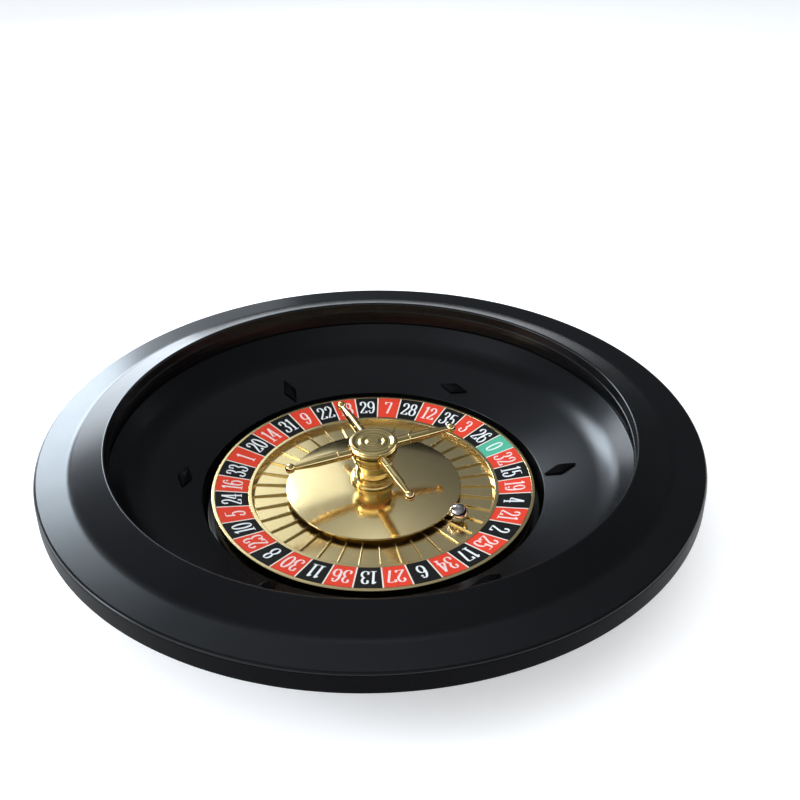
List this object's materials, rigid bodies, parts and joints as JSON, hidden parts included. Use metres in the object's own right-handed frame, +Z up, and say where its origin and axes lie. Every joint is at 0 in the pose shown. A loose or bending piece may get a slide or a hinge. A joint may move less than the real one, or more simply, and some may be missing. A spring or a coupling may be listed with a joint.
{
  "type": "roulette wheel",
  "caption": "Round roulette wheel: black moulded bowl with a broad brim, and a gilt rotor with numbered pockets, a spoked turret and a steel ball.",
  "frame": {"origin": "on the spindle's axis, at the underside of the rubber feet, which is the table", "axes": "+Z up along the spindle; +X passes between two pockets and through the first deflector"},
  "size_m": [0.4608, 0.4608, 0.0781],
  "materials": {
    "black_abs": "satin moulded ABS",
    "deflector_abs": "polished black",
    "hub_abs": "plain moulding",
    "gilt_plate": "gilt plated moulding",
    "gilt_turret": "polished gilt",
    "printed_card": "printed numbers",
    "steel": "plain",
    "ball_chrome": "polished",
    "rubber": "matt"
  },
  "bodies": {
    "bowl_body": {"rim": "black_abs", "bowl": "black_abs", "deflector_1": "deflector_abs", "deflector_2": "deflector_abs", "deflector_3": "deflector_abs", "deflector_4": "deflector_abs", "deflector_5": "deflector_abs", "deflector_6": "deflector_abs", "foot_1": "rubber", "foot_2": "rubber", "foot_3": "rubber", "foot_4": "rubber", "spindle": "steel", "spindle_washer": "steel", "spindle_nut": "steel", "bearing_inner_race": "steel", "rim_screw_1": "steel", "rim_screw_2": "steel", "rim_screw_3": "steel", "rim_screw_4": "steel", "rim_screw_5": "steel", "rim_screw_6": "steel"},
    "rotor": {"rotor_hub": "hub_abs", "pocket_ring": "gilt_plate", "number_ring": "printed_card", "cone": "gilt_plate", "bearing_outer_race": "steel", "bearing_balls": "steel", "turret_stud": "steel", "turret_base": "gilt_turret", "turret_column": "gilt_turret", "turret_cap": "gilt_turret", "arm_1": "gilt_turret", "arm_2": "gilt_turret", "arm_3": "gilt_turret", "arm_4": "gilt_turret", "rotor_screw_1": "steel", "rotor_screw_2": "steel", "rotor_screw_3": "steel", "rotor_screw_4": "steel", "pocket_plate": "gilt_plate", "separator_ring": "gilt_plate", "ring_screw_1": "steel", "ring_screw_2": "steel", "ring_screw_3": "steel", "ring_screw_4": "steel"},
    "ball_body": {"ball": "ball_chrome"}
  },
  "joints": [
    {"name": "rotor_spin", "type": "hinge", "parent": "bowl_body", "child": "rotor", "pos_m": [0, 0, 0], "axis": [0, 0, 1], "continuous": true},
    {"name": "ball_lift", "type": "slide", "parent": "rotor", "child": "ball_body", "axis": [0, 0, 1], "range_m": [0, 0.08]}
  ]
}
